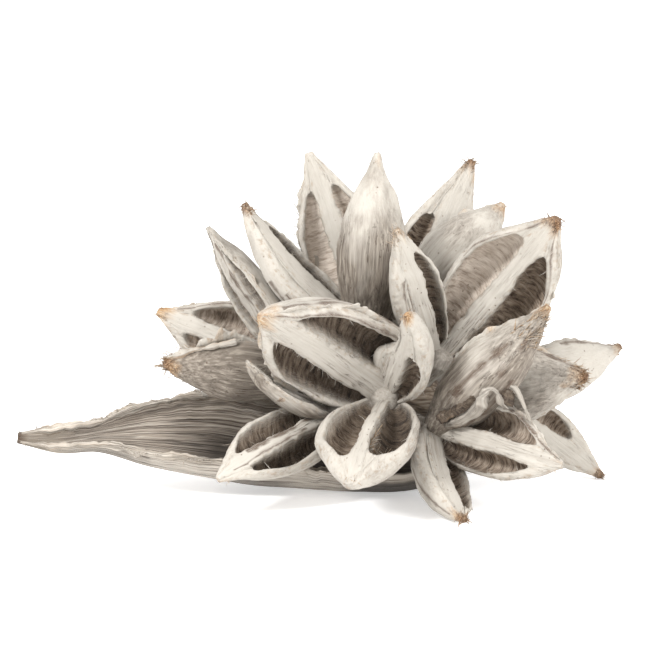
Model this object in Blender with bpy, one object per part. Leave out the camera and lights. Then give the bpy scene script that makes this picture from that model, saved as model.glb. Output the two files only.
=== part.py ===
"""A dried star pod: a boat-shaped bract with a head of split woody capsules lying in it.

Ten capsules stand on short stalks along a woody axis. Each has split from its tip into three
boat-shaped valves, still joined at the foot, and each valve carries a broad pale partition band
between the two long hollows where the seeds lay. Sizes are in millimetres until a mesh is made.
The floor is z = 0, and -Y is the side that shows the open faces of the front capsules.
"""

import math
from collections import namedtuple

import bmesh
import bpy
from mathutils import Matrix, Vector

MM = 0.001

# Added to every place below, so that the origin comes under the middle of the whole pod.
ORIGIN_SHIFT = (0, -8, 0)

# A capsule's foot is where its valves join. A valve's heading is counted from +X towards +Y and its
# rise from the horizontal, in degrees. Its open side looks to the second heading and rise, as nearly
# as its length allows. Bow is how far its middle hangs behind the line from foot to tip. Its two
# hollows, on its one side and its other, end at shares of its length, and 0 is a side left shut.
Capsule = namedtuple("Capsule", "foot valves")
Valve = namedtuple(
    "Valve",
    "heading rise length width looks_heading looks_rise bow one_end other_end",
    defaults=(0.8, 0.8),
)

CAPSULES = {
    "front": Capsule(
        (27, -18, 47),
        (
            Valve(217, 32, 80, 48, 288, -29, 4),
            Valve(257, -17, 78, 44, 266, 73, -4, 0.78, 0.74),
            Valve(278, 43, 66, 31, 220, -29, 3, 0.55, 0.55),
        ),
    ),
    "upper_right": Capsule(
        (52, 4, 61),
        (
            Valve(243, 55, 78, 28, 311, -14, -2, 0.8, 0),
            Valve(334, 50, 87, 48, 249, -4, 4),
            Valve(55, 12, 38, 22, 325, 60, 2),
        ),
    ),
    "lower_right": Capsule(
        (50, -13, 32),
        (
            Valve(319, 45, 88, 30, 75, 20, -3),
            Valve(314, -4, 75, 37, 226, 22, -4),
            Valve(280, -25, 66, 30, 334, 52, 2, 0, 0.8),
        ),
    ),
    "right": Capsule(
        (74, 20, 44),
        (
            Valve(24, 12, 74, 30, 105, 15, 3),
            Valve(314, 13, 64, 33, 44, -1, 2),
            Valve(4, -37, 71, 26, 276, 3, 3, 0, 0.68),
        ),
    ),
    "top_right": Capsule(
        (37, 29, 73),
        (
            Valve(46, 57, 88, 33, 284, 19, 5, 0.64, 0.64),
            Valve(22, 47, 74, 37, 94, -16, 1),
            Valve(92, 50, 62, 32, 60, 50, 4),
        ),
    ),
    "top_left": Capsule(
        (19, 10, 73),
        (
            Valve(290, 81, 84, 31, 88, 9, 2),
            Valve(142, 67, 87, 37, 262, 12, 4),
            Valve(191, 47, 82, 31, 330, 35, 3, 0.8, 0),
        ),
    ),
    "left": Capsule(
        (-9, 6, 54),
        (
            Valve(156, 52, 82, 30, 217, -30, -4),
            Valve(158, 18, 79, 38, 253, 17, 3),
            Valve(202, 8, 69, 31, 107, 32, -2),
        ),
    ),
    "lower_left": Capsule(
        (5, -8, 38),
        (
            Valve(224, -15, 74, 34, 293, 54, -5),
            Valve(217, 31, 57, 18, 1, 54, 2),
            Valve(168, -12, 42, 20, 220, 40, 2),
        ),
    ),
    "back_left": Capsule(
        (10, 38, 50),
        (
            Valve(120, 34, 78, 38, 120, -30, 4),
            Valve(153, 2, 74, 36, 90, 20, 3),
            Valve(95, -36, 80, 36, 105, 60, 3),
        ),
    ),
    "back_right": Capsule(
        (52, 44, 46),
        (
            Valve(72, 34, 78, 38, 72, -30, 4),
            Valve(46, -4, 72, 34, 90, 30, 4),
            Valve(82, -34, 76, 36, 75, 60, 3),
        ),
    ),
}

# Shares of the full half width and depth at stations from a valve's foot, 0, to its tip, 1.
WIDTH_ALONG = ((0, 0.42), (0.18, 0.8), (0.42, 1), (0.6, 0.94), (0.78, 0.6), (0.9, 0.3), (1, 0.12))
DEPTH_ALONG = ((0, 0.42), (0.25, 0.86), (0.5, 1), (0.75, 0.78), (0.9, 0.45), (1, 0.2))
STATIONS = (0, 0.09, 0.21, 0.34, 0.47, 0.59, 0.69, 0.78, 0.89, 1)
DEPTH_SHARE = 0.46

# The hollows, as shares of the half width at a station, or of its depth.
BAND_SHARE = 0.24
RIM_SHARE = 0.17
HOLLOW_DEPTH = 0.7
HOLLOW_FROM = 0.02
SHUT_SHARE = 0.3

# How far a valve's blunt tip stands out past its last station.
TIP_POINT = 1.5

# The woody axis inside the head, and the stalks that stand in its sockets.
AXIS_LINE = ((-7, 14, 41), (14, 14, 47), (34, 15, 47), (52, 17, 38), (66, 15, 25), (79, 12, 17))
AXIS_RADIUS = (3.5, 8, 9.5, 8.5, 6.5, 6)
AXIS_SIDES = 12
AXIS_STEPS = 10
STALK_SIDES = 8
STALK_RADIUS = 4.6
FOOT_RADIUS = 7.5
SOCKET_GAP = 0.3
SOCKET_DEPTH = 3.5
NEAREST_STEPS = 200

# A stalk comes straight out of its socket, widens to the capsule's foot and closes inside it.
STRAIGHT_OUTSIDE = 1.5
CLOSING_HEIGHT = 5
CLOSING_SHARE = 0.7
CLOSING_POINT = 2

# The bract: its near margin, keel and far margin as (y, z) at stations along x.
Rib = namedtuple("Rib", "x near keel far")
RIBS = (
    Rib(-141, (-2, 24), (0, 23), (2, 27)),
    Rib(-122, (-4, 22), (0, 19), (4, 29)),
    Rib(-103, (-7, 24), (0, 20), (8, 32)),
    Rib(-80, (-14, 21), (0, 16), (17, 38)),
    Rib(-55, (-21, 20), (5, 11), (24, 41)),
    Rib(-34, (-23, 18), (11, 6), (30, 38)),
    Rib(-8, (-23, 16), (16, 2), (33, 32)),
    Rib(18, (-23, 14), (19, -1), (34, 26)),
    Rib(38, (-20, 13), (18, -1), (31, 22)),
    Rib(54, (-9, 17), (15, 3), (28, 22)),
    Rib(65, (2, 22), (14, 11), (25, 25)),
    Rib(73, (3, 19), (13, 8), (22, 20)),
)
BRACT_WALL = 2.4
BEAK_WALL_SHARE = 0.5
BRACT_ARC_STEPS = 12


def remove_everything():
    for obj in list(bpy.data.objects):
        bpy.data.objects.remove(obj)


def material(name, colour, roughness):
    made = bpy.data.materials.new(name)
    made.use_nodes = True
    shader = made.node_tree.nodes["Principled BSDF"]
    shader.inputs["Base Color"].default_value = (*colour, 1)
    shader.inputs["Roughness"].default_value = roughness
    shader.inputs["Metallic"].default_value = 0
    return made


def smooth_value(knots, at):
    """The value at a place on the smooth curve through knots, which are (place, value) pairs."""
    places = [k[0] for k in knots]
    if at <= places[0]:
        return knots[0][1]
    if at >= places[-1]:
        return knots[-1][1]
    i = max(j for j, place in enumerate(places) if place <= at)

    def slope(j):
        low, high = max(j - 1, 0), min(j + 1, len(knots) - 1)
        return (knots[high][1] - knots[low][1]) / (places[high] - places[low])

    step = places[i + 1] - places[i]
    t = (at - places[i]) / step
    return (
        (2 * t**3 - 3 * t**2 + 1) * knots[i][1]
        + (t**3 - 2 * t**2 + t) * step * slope(i)
        + (3 * t**2 - 2 * t**3) * knots[i + 1][1]
        + (t**3 - t**2) * step * slope(i + 1)
    )


def direction(heading, rise):
    h, r = math.radians(heading), math.radians(rise)
    return Vector((math.cos(h) * math.cos(r), math.sin(h) * math.cos(r), math.sin(r)))


def half_section(along, half, deep, hollow_end):
    """Points (across, up) down one side of a valve's cross-section, up being its open side."""
    middle, reach = (HOLLOW_FROM + hollow_end) / 2, abs(hollow_end - HOLLOW_FROM) / 2
    opened = math.sqrt(max(0, 1 - ((along - middle) / reach) ** 4))
    span = half * (1 - BAND_SHARE - RIM_SHARE)
    shut = span * (1 - opened) * (1 - SHUT_SHARE) / 2
    inner = half * BAND_SHARE + shut
    outer = half * (1 - RIM_SHARE) - shut
    gap = outer - inner
    sunk = deep * HOLLOW_DEPTH * opened
    return (
        (inner, 0),
        (inner + 0.1 * gap, -0.6 * sunk),
        (inner + 0.35 * gap, -sunk),
        (outer - 0.15 * gap, -0.75 * sunk),
        (outer, -0.04 * half),
        (half, -0.16 * half),
        (0.9 * half, -0.52 * deep),
        (0.52 * half, -0.9 * deep),
    )


def valve_section(along, valve):
    """Points (across, up) round a valve's cross-section at one station."""
    half = valve.width / 2 * smooth_value(WIDTH_ALONG, along)
    deep = valve.width * DEPTH_SHARE * smooth_value(DEPTH_ALONG, along)
    crown, keel = (0, 0.05 * half), (0, -deep)
    one = half_section(along, half, deep, valve.one_end)
    other = half_section(along, half, deep, valve.other_end)
    return [crown, *one, keel, *[(-b, n) for b, n in reversed(other)]]


def loft(rings, start=None, end=None):
    """A closed mesh through rings of points. An end is closed by a point, or else by a strip between
    the ring's first half, its outer side, and its second half, which runs back along the inner."""
    made = bmesh.new()
    rows = [[made.verts.new(p) for p in ring] for ring in rings]
    count = len(rows[0])
    for low, high in zip(rows, rows[1:]):
        for i in range(count):
            j = (i + 1) % count
            made.faces.new((low[i], low[j], high[j], high[i]))
    for row, point in ((rows[0], start), (rows[-1], end)):
        if point is None:
            for i in range(count // 2 - 1):
                made.faces.new((row[i], row[i + 1], row[count - 2 - i], row[count - 1 - i]))
        else:
            tip = made.verts.new(point)
            for i in range(count):
                made.faces.new((row[(i + 1) % count], row[i], tip))
    bmesh.ops.recalc_face_normals(made, faces=made.faces)
    bmesh.ops.triangulate(made, faces=made.faces)
    return made


def object_from(name, made, look):
    """The bmesh, in millimetres, as an object in metres, worn flat where it meets the floor."""
    for vert in made.verts:
        vert.co.z = max(vert.co.z, 0)
    bmesh.ops.translate(made, vec=Vector(ORIGIN_SHIFT), verts=made.verts)
    bmesh.ops.transform(made, matrix=Matrix.Scale(MM, 4), verts=made.verts)
    mesh = bpy.data.meshes.new(name)
    made.to_mesh(mesh)
    made.free()
    mesh.materials.append(look)
    obj = bpy.data.objects.new(name, mesh)
    bpy.context.scene.collection.objects.link(obj)
    return obj


def valve_mesh(capsule, valve):
    """One boat-shaped valve, from the capsule's foot out to its tip."""
    foot = Vector(capsule.foot)
    ahead = direction(valve.heading, valve.rise)
    looks = direction(valve.looks_heading, valve.looks_rise)
    up = (looks - ahead * looks.dot(ahead)).normalized()
    rings = []
    for along in STATIONS:
        lean = -4 * valve.bow * (1 - 2 * along) / valve.length
        forward = (ahead + up * lean).normalized()
        across = forward.cross(up).normalized()
        outward = across.cross(forward)
        centre = foot + ahead * valve.length * along - up * 4 * valve.bow * along * (1 - along)
        rings.append([centre + across * b + outward * n for b, n in valve_section(along, valve)])
    start = sum(rings[0], Vector()) / len(rings[0])
    end = sum(rings[-1], Vector()) / len(rings[-1]) + ahead * TIP_POINT
    return loft(rings, start, end)


def axis_point(share):
    """The centre line of the woody axis and its radius there, share running from 0 to 1."""
    last = len(AXIS_LINE) - 1
    place = Vector(
        [smooth_value([(i / last, p[k]) for i, p in enumerate(AXIS_LINE)], share) for k in range(3)]
    )
    return place, smooth_value([(i / last, r) for i, r in enumerate(AXIS_RADIUS)], share)


def nearest_on_axis(point):
    places = (axis_point(i / NEAREST_STEPS) for i in range(NEAREST_STEPS + 1))
    return min(places, key=lambda p: (p[0] - point).length)


def stalk_rings(capsule, extra):
    """Rings of the stalk from its socket in the axis to the capsule's foot, fatter by extra."""
    foot = Vector(capsule.foot)
    root, radius = nearest_on_axis(foot)
    up = (foot - root).normalized()
    side = up.orthogonal().normalized()
    other = up.cross(side)
    reach = (foot - root).length - (radius - SOCKET_DEPTH)
    low = root + up * (radius - SOCKET_DEPTH - extra)
    profile = (
        (0, STALK_RADIUS),
        (SOCKET_DEPTH + STRAIGHT_OUTSIDE, STALK_RADIUS),
        (reach, FOOT_RADIUS),
        (reach + CLOSING_HEIGHT, FOOT_RADIUS * CLOSING_SHARE),
    )
    turns = [2 * math.pi * i / STALK_SIDES for i in range(STALK_SIDES)]
    rings = []
    for height, size in profile:
        rings.append(
            [low + up * height + (side * math.cos(a) + other * math.sin(a)) * (size + extra) for a in turns]
        )
    return rings, low, low + up * (profile[-1][0] + CLOSING_POINT)


def join_in(target, others, operation):
    """Joins the others to target, or cuts them out of it, with one Boolean, and removes them."""
    group = bpy.data.collections.new("pieces")
    bpy.context.scene.collection.children.link(group)
    for obj in others:
        bpy.context.scene.collection.objects.unlink(obj)
        group.objects.link(obj)
    step = target.modifiers.new("join", "BOOLEAN")
    step.operand_type = "COLLECTION"
    step.collection = group
    step.operation = operation
    step.solver = "EXACT"
    graph = bpy.context.evaluated_depsgraph_get()
    made = bpy.data.meshes.new_from_object(target.evaluated_get(graph))
    target.modifiers.clear()
    made.name = target.name
    target.data = made
    for obj in others:
        bpy.data.objects.remove(obj)
    bpy.data.collections.remove(group)
    return target


def build_capsule(name, capsule, look):
    rings, start, end = stalk_rings(capsule, 0)
    stalk = object_from(f"capsule_{name}", loft(rings, start, end), look)
    valves = [
        object_from(f"valve_{i}", valve_mesh(capsule, valve), look)
        for i, valve in enumerate(capsule.valves)
    ]
    return join_in(stalk, valves, "UNION")


def axis_mesh(extra):
    """The woody axis without its sockets, fatter all round by extra."""
    turns = [2 * math.pi * i / AXIS_SIDES for i in range(AXIS_SIDES)]
    near_by = 0.02
    rings = []
    for share in (i / AXIS_STEPS for i in range(AXIS_STEPS + 1)):
        centre, radius = axis_point(share)
        before, after = axis_point(max(share - near_by, 0))[0], axis_point(min(share + near_by, 1))[0]
        forward = (after - before).normalized()
        side = forward.cross(Vector((0, 0, 1))).normalized()
        up = side.cross(forward)
        rings.append([centre + (side * math.cos(a) + up * math.sin(a)) * (radius + extra) for a in turns])
    start, end = axis_point(0)[0], axis_point(1)[0]
    return loft(rings, start - Vector((extra, 0, 0)), end + Vector((extra, 0, 0)))


def build_axis(look):
    """The woody axis, tapered at its far end, with a socket for each stalk."""
    axis = object_from("stem_axis", axis_mesh(0), look)
    cutters = []
    for name, capsule in CAPSULES.items():
        ring, start, end = stalk_rings(capsule, SOCKET_GAP)
        cutters.append(object_from(f"socket_{name}", loft(ring, start, end), look))
    return join_in(axis, cutters, "DIFFERENCE")


def bract_ring(rib):
    """The bract's wall at one rib: its outer arc from near margin to far, then the inner arc back."""
    near, keel, far = (Vector((rib.x, *p)) for p in (rib.near, rib.keel, rib.far))
    centre = (near + far) / 2
    reach, drop = (far - near) / 2, keel - centre

    def arc(shrink):
        across = reach * (1 - shrink / reach.length)
        down = drop * (1 - shrink / drop.length)
        turns = [math.pi * i / BRACT_ARC_STEPS for i in range(BRACT_ARC_STEPS + 1)]
        return [centre - across * math.cos(a) + down * math.sin(a) for a in turns]

    return arc(0) + arc(min(BRACT_WALL, reach.length * BEAK_WALL_SHARE))[::-1]


def build_bract(look):
    """The boat-shaped bract, whose narrow right end clasps the foot of the woody axis."""
    bract = object_from("bract", loft([bract_ring(rib) for rib in RIBS]), look)
    cutter = object_from("axis_clearance", axis_mesh(SOCKET_GAP), look)
    return join_in(bract, [cutter], "DIFFERENCE")


def main():
    remove_everything()
    husk = material("husk", (0.72, 0.68, 0.61), 0.85)
    wood = material("stem_wood", (0.36, 0.3, 0.24), 0.9)
    leaf = material("bract_husk", (0.5, 0.45, 0.4), 0.88)
    nodes = [build_bract(leaf), build_axis(wood)]
    nodes += [build_capsule(name, capsule, husk) for name, capsule in CAPSULES.items()]
    for node in nodes:
        node.data.shade_smooth()
        node.data.set_sharp_from_angle(angle=math.radians(40))


main()
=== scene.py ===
"""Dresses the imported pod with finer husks, their fibres and colours, and sets a studio round it.

Sizes are in millimetres until a mesh is made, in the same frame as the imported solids.
"""

import math
from collections import namedtuple

import bpy
import numpy as np
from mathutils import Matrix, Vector


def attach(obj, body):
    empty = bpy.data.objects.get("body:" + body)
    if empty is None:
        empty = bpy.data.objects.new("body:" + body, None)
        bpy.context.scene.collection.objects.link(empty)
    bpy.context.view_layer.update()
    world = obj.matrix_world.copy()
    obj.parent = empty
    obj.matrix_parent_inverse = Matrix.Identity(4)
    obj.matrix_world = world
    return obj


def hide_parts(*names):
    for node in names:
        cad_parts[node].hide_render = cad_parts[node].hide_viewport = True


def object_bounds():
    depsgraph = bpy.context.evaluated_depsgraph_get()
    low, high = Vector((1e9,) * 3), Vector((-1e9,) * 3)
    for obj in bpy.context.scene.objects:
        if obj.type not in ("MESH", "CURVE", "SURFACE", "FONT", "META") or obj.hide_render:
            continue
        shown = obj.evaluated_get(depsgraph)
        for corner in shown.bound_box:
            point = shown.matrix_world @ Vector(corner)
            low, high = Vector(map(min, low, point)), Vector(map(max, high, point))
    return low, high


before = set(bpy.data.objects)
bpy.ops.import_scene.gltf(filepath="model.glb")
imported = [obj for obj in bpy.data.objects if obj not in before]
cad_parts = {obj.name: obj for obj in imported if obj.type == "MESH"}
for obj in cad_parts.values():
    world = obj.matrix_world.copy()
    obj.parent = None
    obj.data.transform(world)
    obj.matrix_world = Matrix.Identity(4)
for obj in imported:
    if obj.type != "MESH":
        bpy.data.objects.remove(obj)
CAD_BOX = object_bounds()

MM = 0.001
ORIGIN_SHIFT = np.array((0.0, -8.0, 0.0))

# The layout, as the solids have it. A capsule's foot is where its valves join, and a valve has its
# heading and rise, its length and width, where its open side looks, its bow, and the shares of its
# length at which the hollow on its one side and on its other end.
Capsule = namedtuple("Capsule", "foot valves")
VALVE_FIELDS = "heading rise length width looks_heading looks_rise bow one_end other_end"
Valve = namedtuple("Valve", VALVE_FIELDS, defaults=(0.8, 0.8))

LAYOUT = {
    "front": (
        (27, -18, 47),
        (217, 32, 80, 48, 288, -29, 4),
        (257, -17, 78, 44, 266, 73, -4, 0.78, 0.74),
        (278, 43, 66, 31, 220, -29, 3, 0.55, 0.55),
    ),
    "upper_right": (
        (52, 4, 61),
        (243, 55, 78, 28, 311, -14, -2, 0.8, 0),
        (334, 50, 87, 48, 249, -4, 4),
        (55, 12, 38, 22, 325, 60, 2),
    ),
    "lower_right": (
        (50, -13, 32),
        (319, 45, 88, 30, 75, 20, -3),
        (314, -4, 75, 37, 226, 22, -4),
        (280, -25, 66, 30, 334, 52, 2, 0, 0.8),
    ),
    "right": (
        (74, 20, 44),
        (24, 12, 74, 30, 105, 15, 3),
        (314, 13, 64, 33, 44, -1, 2),
        (4, -37, 71, 26, 276, 3, 3, 0, 0.68),
    ),
    "top_right": (
        (37, 29, 73),
        (46, 57, 88, 33, 284, 19, 5, 0.64, 0.64),
        (22, 47, 74, 37, 94, -16, 1),
        (92, 50, 62, 32, 60, 50, 4),
    ),
    "top_left": (
        (19, 10, 73),
        (290, 81, 84, 31, 88, 9, 2),
        (142, 67, 87, 37, 262, 12, 4),
        (191, 47, 82, 31, 330, 35, 3, 0.8, 0),
    ),
    "left": (
        (-9, 6, 54),
        (156, 52, 82, 30, 217, -30, -4),
        (158, 18, 79, 38, 253, 17, 3),
        (202, 8, 69, 31, 107, 32, -2),
    ),
    "lower_left": (
        (5, -8, 38),
        (224, -15, 74, 34, 293, 54, -5),
        (217, 31, 57, 18, 1, 54, 2),
        (168, -12, 42, 20, 220, 40, 2),
    ),
    "back_left": (
        (10, 38, 50),
        (120, 34, 78, 38, 120, -30, 4),
        (153, 2, 74, 36, 90, 20, 3),
        (95, -36, 80, 36, 105, 60, 3),
    ),
    "back_right": (
        (52, 44, 46),
        (72, 34, 78, 38, 72, -30, 4),
        (46, -4, 72, 34, 90, 30, 4),
        (82, -34, 76, 36, 75, 60, 3),
    ),
}
CAPSULES = {
    name: Capsule(foot, [Valve(*valve) for valve in valves])
    for name, (foot, *valves) in LAYOUT.items()
}

# A valve's width and depth along it, as shares of the greatest. Then its cross-section: the depth as
# a share of the width, the half breadth of the partition and the breadth of a rim as shares of the
# half width, the depth of a hollow as a share of the valve's, where along it the hollows begin, and
# what is left of their breadth beyond their ends.
WIDTH_ALONG = ((0, 0.42), (0.18, 0.8), (0.42, 1), (0.6, 0.94), (0.78, 0.6), (0.9, 0.3), (1, 0.09))
DEPTH_ALONG = ((0, 0.42), (0.25, 0.86), (0.5, 1), (0.75, 0.78), (0.9, 0.45), (1, 0.16))
DEPTH_SHARE = 0.46
BAND_SHARE = 0.24
RIM_SHARE = 0.17
HOLLOW_DEPTH = 0.74
HOLLOW_FROM = 0.02
SHUT_SHARE = 0.12

# The mesh of a valve: stations along it, and steps between the places of its half section, from the
# partition's crown to the keel. Its columns run from the crown down one side and back up the other.
# The masks have a value for each place.
STATIONS = 112
STEPS_ROUND_HALF = (3, 3, 2, 3, 4, 4, 4, 3, 2, 3, 3, 2, 3, 3, 3, 3, 3)
KEEL_COLUMN = sum(STEPS_ROUND_HALF)
COLUMNS = 2 * KEEL_COLUMN
PARTITION_EDGE, HOLLOW_EDGE, ONE_RIM = 6, 28, 34
OTHER_RIM = COLUMNS - ONE_RIM
HOLLOW_MASK = (0, 0, 0.1, 0.7, 1, 1, 1, 1, 0.7, 0.1, 0, 0, 0, 0, 0, 0, 0, 0)
OUTER_MASK = (0, 0, 0, 0, 0, 0, 0, 0, 0, 0, 0, 0.4, 1, 1, 1, 1, 1, 1)
EDGE_MASK = (0, 0.1, 1, 0.2, 0, 0, 0, 0, 0.2, 0.8, 0.2, 1, 0.3, 0, 0, 0, 0, 0)
# The tone mask carries painted shade and painted light in the hollows and the dark rolls, besides the
# grey of weathering.
MASKS = ("hollow", "outer", "tip", "tone", "dark", "edge", "split")

# How far things stray along a valve, in mm or radians, how long the lumps of it are, and what is
# added to the valve's seed.
Stray = namedtuple("Stray", "height lump seed")
PARTITION_TEAR = Stray(0.55, 2.2, 0)
HOLLOW_TEAR = Stray(0.4, 3, 3)
RIM_TEAR = Stray(0.5, 2.6, 5)
RIM_CURL = Stray(1.1, 13, 20)
PARTITION_SWAY = Stray(0.7, 16, 21)
VALVE_TWIST = Stray(0.13, 38, 23)
VALVE_SWAY = Stray(1.1, 34, 9)

# How grey each valve's outer wall has weathered, and how its tip is: 0 pale, 1 tan, 2 a dark knot.
GREY = {
    "front": (0.15, 0.22, 0.15),
    "upper_right": (0.1, 0.15, 0.5),
    "lower_right": (0.45, 0.25, 0.1),
    "right": (0.05, 0.35, 0.0),
    "top_right": (0.15, 0.2, 0.4),
    "top_left": (0.1, 0.1, 0.05),
    "left": (0.3, 0.15, 1.0),
    "lower_left": (0.22, 0.5, 0.5),
    "back_left": (0.5, 0.6, 0.7),
    "back_right": (0.5, 0.6, 0.7),
}
TIPS = {
    "front": (1, 0, 1),
    "upper_right": (1, 2, 1),
    "lower_right": (1, 0, 2),
    "right": (2, 2, 2),
    "top_right": (2, 1, 1),
    "top_left": (0, 0, 2),
    "left": (0, 1, 2),
    "lower_left": (0, 0, 1),
    "back_left": (1, 2, 1),
    "back_right": (2, 1, 1),
}

# Partitions wider or narrower than most. Then outer walls folded along a column, with the height of
# the fold, which is a crease if it is over SHARP_FOLD.
BANDS = {
    ("front", 0): 0.3,
    ("front", 1): 0.13,
    ("upper_right", 1): 0.2,
    ("top_left", 2): 0.36,
    ("left", 0): 0.36,
}
FOLDS = {
    ("lower_right", 0): (52, 3.2),
    ("left", 2): (47, 1.6),
    ("right", 1): (49, 1.4),
    ("top_right", 1): (47, 1.2),
    ("top_left", 2): (60, 1.2),
}
SHARP_FOLD = 2

# Sides that are wider or narrower than most along a valve. Then those whose hollow is shut, as the
# rim has curled over it.
ONE_SIDE, OTHER_SIDE = 0, 1
USUAL_SIDE = ((0, 1), (1, 1))
SIDES = {
    ("front", 0, ONE_SIDE): ((0, 1.9), (0.1, 1.75), (0.25, 1.38), (0.5, 1.02), (1, 1)),
    ("front", 2, OTHER_SIDE): ((0, 1), (0.3, 0.95), (0.5, 0.3), (1, 0.35)),
    ("lower_right", 1, ONE_SIDE): ((0, 1), (0.3, 0.85), (0.6, 0.8), (1, 0.9)),
}
CURLED_SHUT = {("front", 2, OTHER_SIDE)}

# How far from its foot a valve's stain reaches, as a share of its length; in the hollows it is painted
# shade.
USUAL_STAIN_AND_FOOT_SHADE = 0.5
STAIN_AND_FOOT_SHADE = {("top_left", 0): 0.75, ("upper_right", 0): 0.6, ("left", 2): 0.8}

# Dark splits in a valve: the column, the shares of its length and the breadth in columns.
SPLITS = {
    ("front", 0): ((31, 0.12, 0.95, 0.7), (36, 0.2, 0.9, 0.8), (39, 0.15, 0.8, 0.6)),
    ("lower_left", 0): ((3, 0.2, 0.75, 1.4), (99, 0.3, 0.9, 0.7)),
    ("left", 0): ((3, 0.35, 0.9, 1.2),),
    ("left", 1): ((31, 0.2, 0.9, 0.7),),
    ("left", 2): ((37, 0.3, 0.9, 1.1), (42, 0.2, 0.7, 0.8)),
    ("top_left", 2): ((62, 0.05, 0.6, 0.8), (66, 0.1, 0.5, 0.8)),
    ("upper_right", 0): ((72, 0.1, 0.7, 0.7), (96, 0.2, 0.7, 0.6)),
    ("upper_right", 1): ((31, 0.5, 0.98, 0.7), (71, 0.5, 0.95, 0.7)),
    ("lower_right", 0): ((46, 0.3, 0.75, 0.7), (57, 0.1, 0.6, 0.8)),
    ("lower_right", 1): ((71, 0.5, 0.98, 1.1),),
    ("lower_right", 2): ((40, 0.2, 0.9, 0.7),),
    ("right", 1): ((36, 0.4, 0.95, 1.2),),
    ("right", 0): ((37, 0.5, 0.95, 0.8),),
}

# How much painted shade darkens the hollows on a valve's one side and its other, or, below 0, how much
# painted light makes them paler than most.
HOLLOW_SHADE_AND_LIGHT = {
    ("front", 0): (0.5, 0.4),
    ("front", 1): (0.25, 0.7),
    ("upper_right", 0): (0.4, 0.4),
    ("upper_right", 1): (0.1, -0.9),
    ("lower_right", 1): (-0.1, -0.1),
    ("top_left", 1): (-1, -1),
    ("top_left", 2): (1, 0),
    ("left", 0): (0.9, 0.5),
    ("left", 1): (-0.3, -0.3),
    ("lower_left", 0): (0.4, 1),
}

# Torn lips on a valve's rims: the column, the shares of its length and the height.
LIPS = {
    ("left", 2): ((ONE_RIM, 0.25, 0.97, 4), (OTHER_RIM, 0.3, 0.97, 6)),
    ("front", 0): ((ONE_RIM, 0.35, 0.95, 3), (OTHER_RIM, 0.35, 0.95, 2)),
    ("top_left", 1): ((OTHER_RIM, 0.5, 0.95, 1.5),),
    ("top_left", 2): ((ONE_RIM, 0.3, 0.95, 2),),
    ("left", 0): ((ONE_RIM, 0.3, 0.9, 2.5),),
    ("left", 1): ((ONE_RIM, 0.4, 0.95, 2.5),),
    ("upper_right", 1): ((ONE_RIM, 0.4, 0.97, 2.5),),
    ("lower_right", 0): ((ONE_RIM, 0.4, 0.97, 1.5),),
    ("right", 1): ((ONE_RIM, 0.4, 0.97, 3),),
    ("right", 0): ((ONE_RIM, 0.4, 0.97, 1),),
    ("lower_right", 1): ((OTHER_RIM, 0.4, 0.97, 2.5),),
    ("top_right", 1): ((ONE_RIM, 0.4, 0.97, 2.5),),
}

# Tufts of loose fibres on a valve: the columns, the shares of its length, where they point, how
# many, how long, how thick, how tan and how dark.
TUFTS = {
    ("front", 1): (
        ((94, 91, 88), 0.42, 0.64, (0.4, -0.5, 0.6), 50, 7, 0.3, 1, 0),
        ((94, 91, 88), 0.46, 0.64, (0.5, -0.6, 0.4), 36, 6, 0.28, 0, 0),
    ),
    ("front", 0): (((5, 6, 95, 96), 0.25, 0.8, (-0.3, -0.5, -0.8), 50, 3, 0.2, 0.3, 0),),
    ("front", 2): (((ONE_RIM, 33), 0.3, 0.5, (-0.1, -0.6, 0.7), 9, 8, 0.4, 0, 0),),
    ("lower_right", 0): (((43, 47, 51, 55, 59), 0.78, 0.97, (0.6, -0.5, 0.5), 110, 7, 0.34, 1, 0),),
    ("right", 1): (
        ((36, 40, 60, 66), 0.9, 1, (0.8, -0.5, -0.3), 60, 3, 0.5, 1, 0.8),
        ((ONE_RIM, 33, 35), 0.5, 0.96, (0.7, -0.4, -0.2), 60, 6, 0.32, 1, 0.3),
    ),
    ("top_left", 1): (((OTHER_RIM, 67), 0.5, 0.85, (-0.5, -0.2, 0.6), 24, 7, 0.3, 0.35, 0),),
    ("left", 2): (
        ((30, ONE_RIM, OTHER_RIM, 72), 0.72, 0.98, (-0.9, -0.3, 0.15), 130, 11, 0.34, 1, 0.35),
    ),
    ("upper_right", 0): (
        ((30, ONE_RIM, OTHER_RIM, 72), 0.88, 1, (-0.6, -0.2, 0.8), 60, 5, 0.3, 0.9, 0),
    ),
    ("top_right", 0): (
        ((45, 51, 57), 0.95, 1, (-0.8, -0.2, 0.4), 14, 8, 0.25, 0.1, 0),
        ((45, 51, 57), 0.95, 1, (0.8, -0.2, 0.4), 14, 8, 0.25, 0.1, 0),
    ),
}

# Rims that have curled into a roll, and dark rolls of painted shadow in the gaps beside them: the
# capsule, the line, the radius and the masks.
WEATHERED_RIM = {"outer": 1, "tip": 0.15, "tone": 0.4}
PALE_RIM = {"tip": 0.5}
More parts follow.
